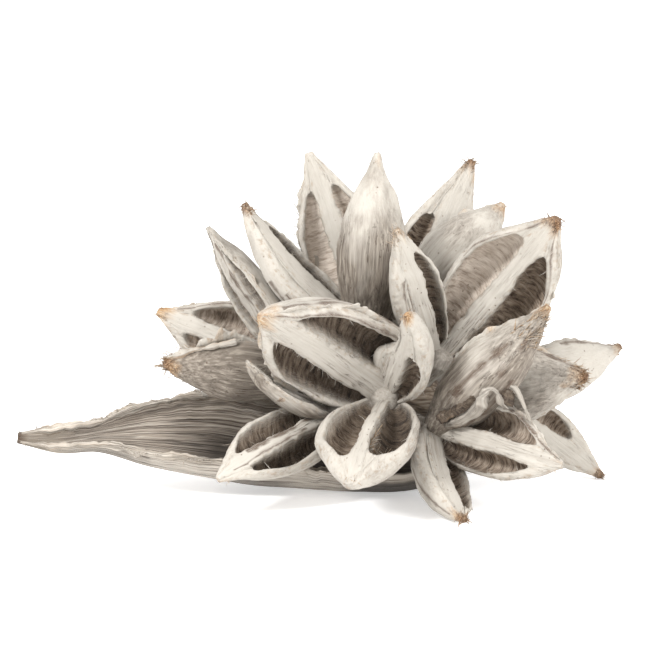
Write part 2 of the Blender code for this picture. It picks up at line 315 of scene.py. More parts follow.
# Masks that make a roll a dark patch of painted shadow.
PAINTED_SHADOW_FACE = {"hollow": 1, "tip": 0.15, "tone": 1}
KNOB_LINE = (
    (54, -25, 36), (60, -33, 40), (66, -38, 45), (69, -43, 50), (69, -47, 54),
    (72, -49, 57), (75, -48, 55), (77, -46, 50), (80, -44, 47),
)
TORN_STRIP_LINE = (
    (-73, -19, 65), (-66, -21, 67), (-60, -20, 69), (-54, -21, 70), (-49, -20, 71),
    (-43, -19, 72), (-38, -17, 73),
)
ROLLS = (
    ("lower_right", KNOB_LINE, 2.5, WEATHERED_RIM),
    # Painted shadow: a dark roll for the shade inside the curled rim.
    ("lower_right", ((78, -42, 49), (80, -42, 53), (81, -42, 56)), 3.2, PAINTED_SHADOW_FACE),
    ("lower_right", ((80, -43, 58), (84, -44, 55), (87, -47, 49), (90, -51, 42)), 1.3, WEATHERED_RIM),
    # Painted shadow: a dark roll for the dark gap behind the curled rim.
    ("lower_right", ((50, -27, 39), (56, -33, 43), (62, -38, 48), (66, -42, 53)), 2.4, PAINTED_SHADOW_FACE),
    ("left", TORN_STRIP_LINE, 1.5, PALE_RIM),
)
ROLL_STATIONS = 60

# Frayed fibres at a valve's tip, for each kind of tip: how many, how long, how thick, how dark.
FRAYS = ((12, 3, 0.25, 0), (22, 4.5, 0.3, 0), (60, 3.6, 0.42, 0.9))
EDGE_FIBRES = 46

AXIS_LINE = ((-7, 14, 41), (14, 14, 47), (34, 15, 47), (52, 17, 38), (66, 15, 25), (79, 12, 17))
AXIS_RADIUS = (3.5, 8, 9.5, 8.5, 6.5, 6)
STALK_RADIUS = 4.6
STALK_TOP_RADIUS = 5.2
STALK_PAST_FOOT = 5
STALK_RIDGES = 5
STALK_INSET = 0.15
STALK_STATIONS, STALK_COLUMNS = 30, 48
FOOT_RADIUS = 7.5
SOCKET_DEPTH = 3.5

Rib = namedtuple("Rib", "x near keel far")
RIBS = (
    Rib(-141, (-2, 24), (0, 23), (2, 27)),
    Rib(-122, (-4, 22), (0, 19), (4, 29)),
    Rib(-103, (-7, 24), (0, 20), (8, 32)),
    Rib(-80, (-14, 21), (0, 16), (17, 38)),
    Rib(-55, (-21, 20), (5, 11), (24, 41)),
    Rib(-34, (-23, 18), (11, 6), (30, 38)),
    Rib(-8, (-23, 16), (16, 2), (33, 32)),
    Rib(18, (-23, 14), (19, -1), (34, 26)),
    Rib(38, (-20, 13), (18, -1), (31, 22)),
    Rib(54, (-9, 17), (15, 3), (28, 22)),
    Rib(65, (2, 22), (14, 11), (25, 25)),
    Rib(73, (3, 19), (13, 8), (22, 20)),
)
BRACT_WALL = 2.4
BRACT_STATIONS = 260
BRACT_ROUND = 64
# Where along X its colours change: the beak and its burnt end, the shade in the trough, and the shade
# beneath the shell, under the head and left of it.
BEAK_FROM, BURNT_FROM = -108, -136
TROUGH_SHADE_FROM = -74
HEAD_SHADE_FROM = 4
LEFT_SHADE_FROM, LEFT_SHADE_TO = -52, -12
# The rolls along its margins: the stations they run between, their radius, seed and masks.
NEAR_ROLL = (slice(2, 200), 1.7, 41, {"tip": 0.6})
FAR_ROLL = (slice(2, 150), 1.9, 43, {"tip": 0.55})
SHREDS = 60
# Torn lips on its margins, given as those of the valves, with a seed for each.
BRACT_LIPS = (
    (0, 0.22, 0.42, 5, 51),
    (0, 0.62, 0.8, 4, 52),
    (63, 0.12, 0.3, 3, 53),
    (63, 0.34, 0.56, 3, 54),
)


def hashed(x, y, z, seed):
    """A number from -1 to 1 for each place of a whole-number lattice."""
    mixed = (x * 73856093) ^ (y * 19349663) ^ (z * 83492791) ^ (seed * 2654435 + 97)
    mixed = ((mixed ^ (mixed >> 13)) * 1274126177) & 0x7FFFFFFF
    mixed = ((mixed ^ (mixed >> 15)) * 362437) & 0x7FFFFFFF
    return (mixed >> 8 & 0xFFFF) / 32767.5 - 1


def noise(points, seed=0):
    """Smooth noise from -1 to 1 at points, whose last axis is x, y, z."""
    base = np.floor(points).astype(np.int64)
    part = points - base
    part = part * part * (3 - 2 * part)
    total = 0
    for corner in np.ndindex(2, 2, 2):
        weight = 1
        for k in range(3):
            weight = weight * (part[..., k] if corner[k] else 1 - part[..., k])
        total = total + weight * hashed(*(base[..., k] + corner[k] for k in range(3)), seed)
    return total


def rough_line(along, step, seed):
    """Noise along a line, its places given in mm and its lumps step mm long."""
    places = np.stack([along / step, np.zeros_like(along), np.zeros_like(along)], axis=-1)
    return 0.65 * noise(places, seed) + 0.35 * noise(places * 2.7, seed + 1)


def smooth_values(knots, at):
    """Values at places on the smooth curve through knots, which are (place, value) pairs."""
    places = np.array([k[0] for k in knots], float)
    values = np.array([k[1] for k in knots], float)
    slopes = np.empty_like(values)
    slopes[1:-1] = (values[2:] - values[:-2]) / (places[2:] - places[:-2])
    slopes[0] = (values[1] - values[0]) / (places[1] - places[0])
    slopes[-1] = (values[-1] - values[-2]) / (places[-1] - places[-2])
    at = np.clip(at, places[0], places[-1])
    i = np.clip(np.searchsorted(places, at, side="right") - 1, 0, len(places) - 2)
    step = places[i + 1] - places[i]
    t = (at - places[i]) / step
    return (
        (2 * t**3 - 3 * t**2 + 1) * values[i]
        + (t**3 - 2 * t**2 + t) * step * slopes[i]
        + (3 * t**2 - 2 * t**3) * values[i + 1]
        + (t**3 - t**2) * step * slopes[i + 1]
    )


def unit(vectors):
    return vectors / np.linalg.norm(vectors, axis=-1, keepdims=True)


def direction(heading, rise):
    h, r = math.radians(heading), math.radians(rise)
    return np.array((math.cos(h) * math.cos(r), math.sin(h) * math.cos(r), math.sin(r)))


def strayed(stray, place, seed):
    """How far something strays at each place along a valve."""
    return stray.height * rough_line(place, stray.lump, seed + stray.seed)


def half_section(valve, along, side_key, band, seed):
    """Places (across, up) of one half of the cross-section at each station, and how open it is."""
    half = valve.width / 2 * smooth_values(WIDTH_ALONG, along)
    half = half * smooth_values(SIDES.get(side_key, USUAL_SIDE), along)
    hollow_end = (valve.one_end, valve.other_end)[side_key[-1]]
    if side_key in CURLED_SHUT:
        hollow_end = 0
    deep = valve.width * DEPTH_SHARE * smooth_values(DEPTH_ALONG, along)
    middle, reach = (HOLLOW_FROM + hollow_end) / 2, abs(hollow_end - HOLLOW_FROM) / 2
    opened = np.sqrt(np.clip(1 - np.abs((along - middle) / reach) ** 4, 0, 1))
    place = along * valve.length
    torn = strayed(RIM_TEAR, place, seed)
    curl = strayed(RIM_CURL, place, seed) * np.clip(along * 4, 0, 1)
    span = half * (1 - band - RIM_SHARE)
    shut = span * (1 - opened) * (1 - SHUT_SHARE) / 2
    inner = half * band + shut + strayed(PARTITION_TEAR, place, seed) * opened
    inner = inner + strayed(PARTITION_SWAY, place, seed)
    outer = half * (1 - RIM_SHARE) - shut + strayed(HOLLOW_TEAR, place, seed) * opened
    gap = outer - inner
    sunk = deep * HOLLOW_DEPTH * opened
    edge = half + torn * 0.5
    drop = -0.14 * half + torn
    zero = np.zeros_like(half)
    places = (
        # The partition's crown and its edge, then the hollow's walls and floor.
        (zero, 0.05 * half),
        (0.6 * inner, 0.045 * half),
        (inner, zero),
        (inner - 0.04 * gap, -0.32 * sunk),
        (inner + 0.03 * gap, -0.74 * sunk),
        (inner + 0.33 * gap, -sunk),
        (inner + 0.62 * gap, -0.96 * sunk),
        (outer - 0.06 * gap, -0.7 * sunk),
        (outer + 0.03 * gap, -0.3 * sunk),
        # The rim, from the hollow's edge to the valve's.
        (outer, -0.03 * half + 0.4 * curl),
        (0.55 * outer + 0.45 * edge, 0.01 * half + 0.8 * curl),
        (edge, drop + curl),
        # The outer wall, down to the keel.
        (0.985 * half, drop * 0.4 - 0.3 * deep),
        (0.9 * half, -0.52 * deep),
        (0.74 * half, -0.73 * deep),
        (0.52 * half, -0.89 * deep),
        (0.24 * half, -0.975 * deep),
        (zero, -deep),
    )
    return np.stack([np.stack(p, axis=-1) for p in places], axis=1), opened


def fill_half(values):
    """Values at the named places of a half section, filled in between them, along axis 1."""
    filled = []
    for i, steps in enumerate(STEPS_ROUND_HALF):
        for k in range(steps):
            share = k / steps
            filled.append(values[:, i] * (1 - share) + values[:, i + 1] * share)
    filled.append(values[:, -1])
    return np.stack(filled, axis=1)


def mask_round(mask):
    """A mask's values over the whole mesh of a valve, from those at the named places."""
    half = fill_half(np.tile(np.array(mask, float), (STATIONS, 1)))
    return np.concatenate([half, half[:, -2:0:-1]], axis=1)


def even_masks(shape, **values):
    """Masks that are the same all over a grid, and 0 where no value is given."""
    masks = np.zeros((*shape, len(MASKS)))
    for name, value in values.items():
        masks[..., MASKS.index(name)] = value
    return masks


def ring_blur(values):
    """Values evened out a little with those beside them in the ring."""
    return (values + 0.5 * (np.roll(values, 1, axis=1) + np.roll(values, -1, axis=1))) / 2


def grid_normals(points):
    """Outward normals of a grid of rings, shape (S, R, 3)."""
    ahead = np.gradient(points, axis=0)
    round_ = np.roll(points, -1, axis=1) - np.roll(points, 1, axis=1)
    normals = np.cross(round_, ahead)
    normals /= np.linalg.norm(normals, axis=-1, keepdims=True) + 1e-9
    middle = points.mean(axis=1, keepdims=True)
    if (normals * (points - middle)).sum() < 0:
        normals = -normals
    return normals


Part = namedtuple("Part", "points faces grain masks")


def grid_part(points, grain, masks):
    """The Part of a grid of rings, its ends closed by a fan."""
    stations, count = points.shape[:2]
    index = np.arange(stations * count).reshape(stations, count)
    low, high = index[:-1], index[1:]
    quads = np.stack([low, np.roll(low, -1, axis=1), np.roll(high, -1, axis=1), high], axis=-1)
    faces = quads.reshape(-1, 4).tolist()
    top = stations * count
    for row, tip, turn in ((index[0], top, 1), (index[-1], top + 1, -1)):
        for a, b in zip(row, np.roll(row, -1)):
            faces.append([int(b), int(a), tip][::turn])

    def with_ends(values):
        rows = values.reshape(-1, values.shape[-1])
        return np.concatenate([rows, values[0].mean(0)[None], values[-1].mean(0)[None]])

    return Part(with_ends(points), faces, with_ends(grain), with_ends(masks))


def valve_section(valve, key, along, seed):
    """The whole cross-section at each station, and how open the hollow on each column's side is."""
    band = BANDS.get(key, BAND_SHARE)
    left, opened_left = half_section(valve, along, (*key, ONE_SIDE), band, seed)
    right, opened_right = half_section(valve, along, (*key, OTHER_SIDE), band, seed + 50)
    left, right = fill_half(left), fill_half(right)
    section = ring_blur(np.concatenate([left, (right * (-1, 1))[:, -2:0:-1]], axis=1))
    on_left = np.arange(COLUMNS) <= KEEL_COLUMN
    return section, np.where(on_left, opened_left[:, None], opened_right[:, None])


def valve_frames(capsule, valve, along, seed):
    """The middle of each station, and its directions across the valve and out of its open side."""
    foot = np.array(capsule.foot, float) + ORIGIN_SHIFT
    ahead = direction(valve.heading, valve.rise)
    looks = direction(valve.looks_heading, valve.looks_rise)
    up = unit(looks - ahead * looks.dot(ahead))
    lean = -4 * valve.bow * (1 - 2 * along) / valve.length
    forward = unit(ahead + up * lean[:, None])
    across = unit(np.cross(forward, up))
    outward = np.cross(across, forward)
    centre = foot + ahead * (valve.length * along)[:, None]
    centre = centre - up * (4 * valve.bow * along * (1 - along))[:, None]
    place, middle = along * valve.length, np.sin(math.pi * along)
    twist = strayed(VALVE_TWIST, place, seed) * middle
    turned = across * np.cos(twist)[:, None] + outward * np.sin(twist)[:, None]
    outward = outward * np.cos(twist)[:, None] - across * np.sin(twist)[:, None]
    centre = centre + turned * (strayed(VALVE_SWAY, place, seed) * middle)[:, None]
    return centre, turned, outward


def split_mask(valve, key, along, seed):
    """Where a valve's skin is split: along its sharp fold, and at the rows of SPLITS."""
    column = np.arange(COLUMNS)
    fold_at, fold_height = FOLDS.get(key, (KEEL_COLUMN, 0))
    split = (np.abs(column - fold_at) < 1.2) * (fold_height > SHARP_FOLD) * (along[:, None] > 0.15)
    split = split * np.clip(0.2 + rough_line(along * 90, 9, seed)[:, None], 0, 0.8)
    for split_at, low, high, breadth in SPLITS.get(key, ()):
        width = 0.8 + 1.4 * rough_line(along * valve.length, 6, seed + split_at)[:, None]
        within = (along[:, None] > low) & (along[:, None] < high)
        beside = np.clip(breadth * width + 0.5 - np.abs(column - split_at), 0, 1)
        split = np.maximum(split, beside * within * 0.9)
    return split


def valve_masks(valve, key, along, opened, seed):
    """The masks of a valve's mesh, stacked in the order of MASKS."""
    name, index = key
    grey, tip_kind = GREY[name][index], TIPS[name][index]
    column = np.arange(COLUMNS)
    fold_at, fold_height = FOLDS.get(key, (KEEL_COLUMN, 0))
    hollow = mask_round(HOLLOW_MASK) * np.clip(opened * 1.6, 0, 1)
    near_tip = np.broadcast_to(np.clip((along - 0.8) / 0.2, 0, 1)[:, None], hollow.shape)
    at_tip = np.broadcast_to(np.clip((along - 0.94) / 0.05, 0, 1)[:, None], hollow.shape)
    stain_and_foot_shade = np.clip((STAIN_AND_FOOT_SHADE.get(key, USUAL_STAIN_AND_FOOT_SHADE) - along) / 0.4, 0, 1)[:, None]
    beyond_fold = (column > fold_at) * 0.4 * (fold_height > SHARP_FOLD)
    # Painted shade in the hollows on each side, or painted light where the value is below 0.
    shade = np.where(column <= KEEL_COLUMN, *HOLLOW_SHADE_AND_LIGHT.get(key, (0, 0)))
    # Tone is the weathered grey outside; in the hollows it is painted shade, darker towards the foot and
    # on a shaded side, or painted light below 0.
    tone = np.clip(grey + beyond_fold + 0.7 * stain_and_foot_shade, 0, 1) * (1 - hollow)
    tone = tone + hollow * (0.7 * stain_and_foot_shade + shade)
    tan = near_tip * (0.35, 1, 1)[tip_kind]
    dark = at_tip * (tip_kind == 2)
    split = split_mask(valve, key, along, seed)
    outer, edge = mask_round(OUTER_MASK), mask_round(EDGE_MASK)
    return np.stack([hollow, outer, tan, tone, dark, edge, split], axis=-1)


def valve_relief(points, grain, masks, key, along):
    """How far each point of a valve stands off its smooth form, in mm."""
    name, index = key
    hollow, outer, edge = (masks[..., MASKS.index(mask)] for mask in ("hollow", "outer", "edge"))
    swellings = 0.9 * noise(points / 17, 3) + 0.4 * noise(points / 6, 4)
    fibres = noise(grain * (0.7, 0.7, 0.045), 5) * 0.16 + noise(grain * (2, 2, 0.08), 6) * 0.05
    crease = 1 - 2 * np.abs(noise(grain * (0.13, 0.13, 0.014), 12))
    relief = swellings + outer * (fibres + (0.45 + 0.5 * GREY[name][index]) * crease)
    relief = relief + (1 - outer) * (1 - hollow) * 0.12 * noise(grain * (0.9, 0.9, 0.05), 7)
    warped = grain + 2.5 * noise(grain * 0.12, 13)[..., None]
    ribs = 0.3 * noise(warped * (0.3, 0.3, 0.7), 8) + 0.45 * noise(warped / 3, 9)
    relief = relief + hollow * ribs
    relief = relief + edge * 0.2 * noise(grain * 1.1, 10)
    fold_at, fold_height = FOLDS.get(key, (KEEL_COLUMN, 0))
    fold = np.clip(1 - np.abs(np.arange(COLUMNS) - fold_at) / 15, -0.1, 1) - 0.25
    relief = relief + outer * fold * fold_height * np.sin(math.pi * along)[:, None] ** 0.6
    fade = np.clip(along * 6, 0, 1)[:, None] * np.clip((1 - along) * 12, 0.3, 1)[:, None]
    return relief * fade


def valve_part(capsule, valve, key, seed):
    """One fine valve, with the points and normals that its lips and loose fibres grow from."""
    along = np.linspace(0, 1, STATIONS)
    section, opened = valve_section(valve, key, along, seed)
    centre, across, outward = valve_frames(capsule, valve, along, seed)
    points = centre[:, None] + across[:, None] * section[..., :1] + outward[:, None] * section[..., 1:]
    place = np.broadcast_to((along * valve.length)[:, None, None], section[..., :1].shape)
    grain = np.concatenate([section, place], axis=-1) + np.array((seed * 31.0, seed * 17.0, 0))
    masks = valve_masks(valve, key, along, opened, seed)
    normals = grid_normals(points)
    points = points + normals * valve_relief(points, grain, masks, key, along)[..., None]
    return grid_part(points, grain, masks), points, normals


# The mesh of a lip, round it from one side of its root over its edge to the other, and of a roll.
FLAP_STATIONS = 90
FLAP_RING = ((0, 1), (0.4, 1), (0.75, 1), (1, 1), (1, -1), (0.75, -1), (0.4, -1), (0, -1))
FLAP_HALF_THICKNESS = 0.14
ROLL_COLUMNS = 16


def strand_part(roots, ways, lengths, thick, seed, tan, dark=0.0):
    """Thin tapering fibres, each a bent three-sided blade."""
    rng = np.random.default_rng(seed)
    steps = 4
    points, faces, masks = [], [], []
    for root, way, length in zip(roots, ways, lengths):
        side = unit(np.cross(way, rng.normal(size=3)))
        bend = unit(rng.normal(size=3)) * length * rng.uniform(0.1, 0.45)
        other = np.cross(way, side)
        wide = thick * rng.uniform(0.6, 1.3)
        first = len(points)
        for k in range(steps + 1):
            share = k / steps
            centre = root + way * length * share + bend * share**2
            for turn in range(3):
                a = turn * 2 * math.pi / 3
                spoke = side * math.cos(a) + other * math.sin(a) * 0.5
                points.append(centre + spoke * wide * (1 - 0.8 * share))
        for k in range(steps):
            for turn in range(3):
                a, b = first + k * 3 + turn, first + k * 3 + (turn + 1) % 3
                faces.append([a, b, b + 3, a + 3])
        faces.append([first + 2, first + 1, first])
        end = first + steps * 3
        faces.append([end, end + 1, end + 2])
        shade = (0, 0, tan * rng.uniform(0.6, 1), 0, dark * rng.uniform(0.3, 1), 0, 0)
        masks += [shade] * ((steps + 1) * 3)
    points = np.array(points)
    return Part(points, faces, points * 1.0, np.array(masks, float))


def tip_strands(points, ahead, fray, seed):
    """Frayed fibres round a valve's tip, denser and darker where it ends in a knot."""
    count, length, thick, dark = fray
    rng = np.random.default_rng(seed)
    rows = points[-1 - rng.integers(0, 8, size=count), rng.integers(0, COLUMNS, size=count)]
    ways = ahead * rng.uniform(-0.6, 0.9, size=(count, 1)) + rng.normal(size=(count, 3)) * 0.7
    lengths = rng.uniform(0.8, length, size=count)
    return strand_part(rows, unit(ways), lengths, thick, seed, 1, dark)


def edge_strands(points, normals, seed):
    """Short torn fibres along the partition's edges and the rims."""
    rng = np.random.default_rng(seed)
    edges = np.array((PARTITION_EDGE, HOLLOW_EDGE, ONE_RIM))
    edges = np.concatenate([edges, COLUMNS - edges])
    rows = rng.integers(8, STATIONS - 14, size=EDGE_FIBRES)
    columns = edges[rng.integers(0, len(edges), size=EDGE_FIBRES)]
    ahead = unit(points[rows + 1, columns] - points[rows, columns])
    ways = unit(normals[rows, columns] * 0.3 + ahead * rng.uniform(-1, 1, size=(EDGE_FIBRES, 1)))
    ways = unit(ways + rng.normal(size=(EDGE_FIBRES, 3)) * 0.35)
    lengths = rng.uniform(0.8, 4, size=EDGE_FIBRES)
    return strand_part(points[rows, columns], ways, lengths, 0.17, seed, 0.5)


def flap_part(points, normals, column, low, high, height, seed):
    """A torn papery lip standing on a valve's rim from one share of its length to another."""
    last = len(points) - 1
    rows = np.linspace(low, high, FLAP_STATIONS) * last
    before = np.floor(rows).astype(int)
    part = (rows - before)[:, None]
    after = np.minimum(before + 1, last)
    root = points[before, column] * (1 - part) + points[after, column] * part
    out = unit(normals[before, column])
    rise = unit(root - points.mean(axis=1)[before])
    across = unit(np.cross(rise, np.gradient(root, axis=0)))
    place = np.linspace(0, np.linalg.norm(root[-1] - root[0]), FLAP_STATIONS)
    torn = 0.5 + 1.1 * rough_line(place, 8, seed) + 0.25 * rough_line(place, 2.2, seed + 1)
    ends = np.sin(math.pi * np.linspace(0, 1, FLAP_STATIONS)) ** 0.4
    reach = height * np.clip(torn, 0.04, 1.4) * ends
    curl = rough_line(place, 9, seed + 2)
    ring = []
    for share, side in FLAP_RING:
        bend = rise * (share * 0.9) + out * (share**2 * (0.35 + 0.5 * curl[:, None]))
        thickness = across * FLAP_HALF_THICKNESS * side
        ring.append(root - rise * 0.4 + bend * reach[:, None] + thickness)
    grid = np.stack(ring, axis=1)
    return grid_part(grid, grid * 1.0, even_masks(grid.shape[:2], tip=0.45, edge=0.6))


def rolled_part(line, radius, seed, shade):
    """A ragged roll along a line, of dry leaf or of painted shadow, shade being its masks."""
    ahead = unit(np.gradient(line, axis=0))
    side = unit(np.cross(ahead, (0, 0, 1)))
    over = np.cross(side, ahead)
    place = np.concatenate([[0], np.cumsum(np.linalg.norm(np.diff(line, axis=0), axis=1))])
    lumps = 0.75 + 0.5 * rough_line(place, 9, seed) + 0.3 * rough_line(place, 2.5, seed + 1)
    ends = np.clip(np.sin(math.pi * np.linspace(0, 1, len(line))) * 4, 0.3, 1)
    size = np.clip(radius * lumps, 0.25, None) * ends
    turns = np.linspace(0, 2 * math.pi, ROLL_COLUMNS, endpoint=False)
    ripple = 1 + 0.18 * np.sin(turns * 4 + place[:, None] * 0.11)
    spokes = side[:, None] * np.cos(turns)[:, None] + over[:, None] * np.sin(turns)[:, None]
    grid = line[:, None] + spokes * (size[:, None] * ripple)[..., None]
    places = np.broadcast_arrays(turns[None] * 2, ripple * 0, place[:, None])
    return grid_part(grid, np.stack(places, axis=-1), even_masks(grid.shape[:2], **shade))


def bristles(points, valve_seed, columns, low, high, way, count, length, thick, tan, dark):
    """Loose fibres that stand in a hollow or on a rim, all leaning about one way."""
    rng = np.random.default_rng(valve_seed)
    rows = (rng.uniform(low, high, size=count) * (STATIONS - 1)).astype(int)
    chosen = np.array(columns)[rng.integers(0, len(columns), size=count)]
    ways = unit(np.array(way, float) + rng.normal(size=(count, 3)) * 0.28)
    lengths = rng.uniform(0.4, 1, size=count) * length
    return strand_part(points[rows, chosen], ways, lengths, thick, valve_seed, tan, dark)


def curve_through(knots, places):
    """Points at places on the smooth curve through knots, which are (place, point) pairs."""
    columns = [smooth_values([(at, point[k]) for at, point in knots], places) for k in range(3)]
    return np.stack(columns, axis=-1)


def stalk_part(capsule, seed):
    """The stalk from its socket to the capsule's foot, ridged along its length."""
    foot = np.array(capsule.foot, float)
    shares = np.linspace(0, 1, 201)
    last = len(AXIS_LINE) - 1
    line = curve_through([(i / last, p) for i, p in enumerate(AXIS_LINE)], shares)
    radii = smooth_values([(i / last, r) for i, r in enumerate(AXIS_RADIUS)], shares)
    nearest = np.argmin(np.linalg.norm(line - foot, axis=1))
    root, radius = line[nearest], radii[nearest]
    up = unit(foot - root)
    side = unit(np.cross(up, (0.3, 0.2, 1)))
    other = np.cross(up, side)
    reach = np.linalg.norm(foot - root) - radius + SOCKET_DEPTH
    low = root + up * (radius - SOCKET_DEPTH) + ORIGIN_SHIFT
    top = reach + STALK_PAST_FOOT
    knots = (
        (0, STALK_RADIUS),
        (SOCKET_DEPTH + 1.5, STALK_RADIUS),
        (reach, FOOT_RADIUS),
        (top, STALK_TOP_RADIUS),
    )
    heights = np.linspace(0, top, STALK_STATIONS)
    size = (np.interp(heights, *zip(*knots)) - STALK_INSET)[:, None]
    turns = np.linspace(0, 2 * math.pi, STALK_COLUMNS, endpoint=False)
    ridge = 1 - 0.05 * np.abs(np.sin(turns * STALK_RIDGES + seed))
    round_ = side * np.cos(turns)[:, None] + other * np.sin(turns)[:, None]
    points = low + up * heights[:, None, None] + round_ * (size * ridge)[..., None]
    places = np.broadcast_arrays(size * np.cos(turns), size * np.sin(turns), heights[:, None])
    return grid_part(points, np.stack(places, axis=-1), even_masks(points.shape[:2], outer=1, tone=0.4))


def add_piece(name, parts, look):
    """One mesh object from parts, in metres, kept inside the solids' own box."""
    low, high = (np.array(corner) / MM for corner in CAD_BOX)
    points, faces, grain, masks, first = [], [], [], [], 0
    for part in parts:
        points.append(np.clip(part.points, low, high))
        faces += [[i + first for i in face] for face in part.faces]
        grain.append(part.grain)
        masks.append(part.masks)
        first += len(part.points)
    mesh = bpy.data.meshes.new(name)
    mesh.from_pydata((np.concatenate(points) * MM).tolist(), [], faces)
    mesh.attributes.new("grain", "FLOAT_VECTOR", "POINT").data.foreach_set(
        "vector", np.concatenate(grain).astype(np.float32).ravel())
    for k, mask in enumerate(MASKS):
        values = np.concatenate(masks)[:, k].astype(np.float32)
        mesh.attributes.new(mask, "FLOAT", "POINT").data.foreach_set("value", values)
    mesh.shade_smooth()
    mesh.materials.append(look)
    obj = bpy.data.objects.new(name, mesh)
    bpy.context.scene.collection.objects.link(obj)
    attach(obj, "root")
    return obj


def capsule_rolls(name, seed):
    """The rims of a capsule that have curled into rolls, and the dark rolls of painted shadow beside
    them.
    """
    parts = []
    for i, (rolled_name, knots, radius, shade) in enumerate(ROLLS):
        if rolled_name == name:
            places = np.linspace(0, len(knots) - 1, ROLL_STATIONS)
            line = curve_through(list(enumerate(knots)), places) + ORIGIN_SHIFT
            parts.append(rolled_part(line, radius, seed + i, shade))
    return parts


def build_capsule(name, capsule, look, seed):
    """One capsule's fine piece: its stalk, its valves, what is torn, frayed and curled on them, and dark
    rolls of painted shadow.
    """
    parts = [stalk_part(capsule, seed)]
    for i, valve in enumerate(capsule.valves):
        key = (name, i)
        part, points, normals = valve_part(capsule, valve, key, seed + 7 * i)
        ahead = direction(valve.heading, valve.rise)
        frayed = tip_strands(points, ahead, FRAYS[TIPS[name][i]], seed + i)
        parts += [part, frayed, edge_strands(points, normals, seed + i)]
        parts += [flap_part(points, normals, *lip, seed + i) for lip in LIPS.get(key, ())]
        parts += [bristles(points, seed + i, *tuft) for tuft in TUFTS.get(key, ())]
    parts += capsule_rolls(name, seed)
    piece = add_piece(f"husk_{name}", parts, look)
    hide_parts(f"capsule_{name}")


def bract_arcs(x, turns):
    """The outer arcs of the bract's wall and the inner ones, from its near margin to its far one."""
    rib = {}
    for side in ("near", "keel", "far"):
        places = [[(r.x, getattr(r, side)[k]) for r in RIBS] for k in range(2)]
        rib[side] = np.stack([x, *(smooth_values(p, x) for p in places)], axis=-1)
    centre = (rib["near"] + rib["far"]) / 2
    reach, drop = (rib["far"] - rib["near"]) / 2, rib["keel"] - centre

    def arc(inset):
        across, down = (
            way[:, None] * (1 - inset[:, :, None] / np.linalg.norm(way, axis=1)[:, None, None])
            for way in (reach, drop)
        )
        return centre[:, None] - across * np.cos(turns)[:, None] + down * np.sin(turns)[:, None]

    wall = np.minimum(BRACT_WALL, np.linalg.norm(reach, axis=1) * 0.5)[:, None]
    thickness = wall * (0.35 + 0.65 * np.sin(turns))
    return arc(thickness * 0), arc(thickness)


def bract_masks(x, turns, inside, margin):
    """The masks of the bract's mesh, stacked in the order of MASKS.

    Here hollow is the shade in the trough, outer the inner face, tip the margins and the beak, tone
    the shade beneath the shell and dark the burnt end.
    """
    x = x[:, None]
    across = (1 - np.cos(turns)) / 2
    trough = np.clip((x - TROUGH_SHADE_FROM) / 24, 0, 1)
    hollow = inside * trough * np.clip((0.95 - across) / 0.25, 0.1, 1)
    tip = np.maximum(np.clip((BEAK_FROM - x) / 20, 0, 0.75), margin * 0.45)
    head_shade = np.clip((x - HEAD_SHADE_FROM) / 14, 0, 1) * np.clip((across - 0.01) / 0.02, 0, 1)
    left_shade = np.clip((x - LEFT_SHADE_FROM) / 10, 0, 1) * np.clip((LEFT_SHADE_TO - x) / 10, 0, 1)
    left_shade = 0.7 * left_shade * np.clip((across - 0.03) / 0.03, 0, 1)
    under = (head_shade + left_shade) * (1 - inside)
    burnt = np.clip((BURNT_FROM - x) / 4, 0, 1)
    return np.stack(np.broadcast_arrays(hollow, inside, tip, under, burnt, 0.0, 0.0), axis=-1)


def bract_shreds(near, far):
    """Loose fibres along the bract's near margin and its far one."""
    parts = []
    rng = np.random.default_rng(61)
    for line, lean in ((near[:190], (0.2, -0.8, -0.5)), (far[:140], (-0.3, 0.1, 0.7))):
        roots = line[rng.integers(0, len(line), size=SHREDS)]
        ways = unit(np.array(lean) + rng.normal(size=(SHREDS, 3)) * 0.6)
        parts.append(strand_part(roots, ways, rng.uniform(1, 5, size=SHREDS), 0.35, 62, 1))
    return parts


def bract_parts():
    """The fine bract: a thin ribbed wall, its margins rolled and torn."""
    x = np.linspace(RIBS[0].x, RIBS[-1].x, BRACT_STATIONS)
    turns = np.linspace(0, math.pi, BRACT_ROUND)
    outer, inner = bract_arcs(x, turns)
    points = np.concatenate([outer, inner[:, ::-1]], axis=1)
    points[..., 2] = np.maximum(points[..., 2], 0)
    normals = unit(np.concatenate([outer - inner, (inner - outer)[:, ::-1]], axis=1) + 1e-6)
    turns = np.concatenate([turns, turns[::-1]])
    inside = np.repeat((0.0, 1.0), BRACT_ROUND)
    margin = np.abs(np.cos(turns)) ** 8
    grain = np.stack(np.broadcast_arrays(turns * 26, inside * 40, x[:, None]), axis=-1)
    relief = 0.3 * noise(grain * (0.4, 1, 0.012), 21) + 0.3 * noise(grain * (1.3, 1, 0.02), 22)
    relief = relief + 0.5 * noise(points / 16, 23)
    fade = np.clip(points[..., 2] / 2, 0, 1) * (0.35 + 0.65 * np.sin(turns))
    points = points + normals * (relief * fade * 0.8)[..., None]
    torn = rough_line(x, 4.5, 31)[:, None] * margin * 0.9
    points[..., 2] = points[..., 2] + np.minimum(torn, 0.2)
    points = points + ORIGIN_SHIFT
    near, far = points[:, 0] + (0, 0.3, -0.4), points[:, BRACT_ROUND - 1] + (0, -0.3, -0.4)
    parts = [bract_grid(points, grain, bract_masks(x, turns, inside, margin))]
    for line, (stations, radius, seed, shade) in ((near, NEAR_ROLL), (far, FAR_ROLL)):
        parts.append(rolled_part(line[stations], radius, seed, shade))
    parts += [flap_part(points, normals, *lip) for lip in BRACT_LIPS]
    return parts + bract_shreds(near, far)


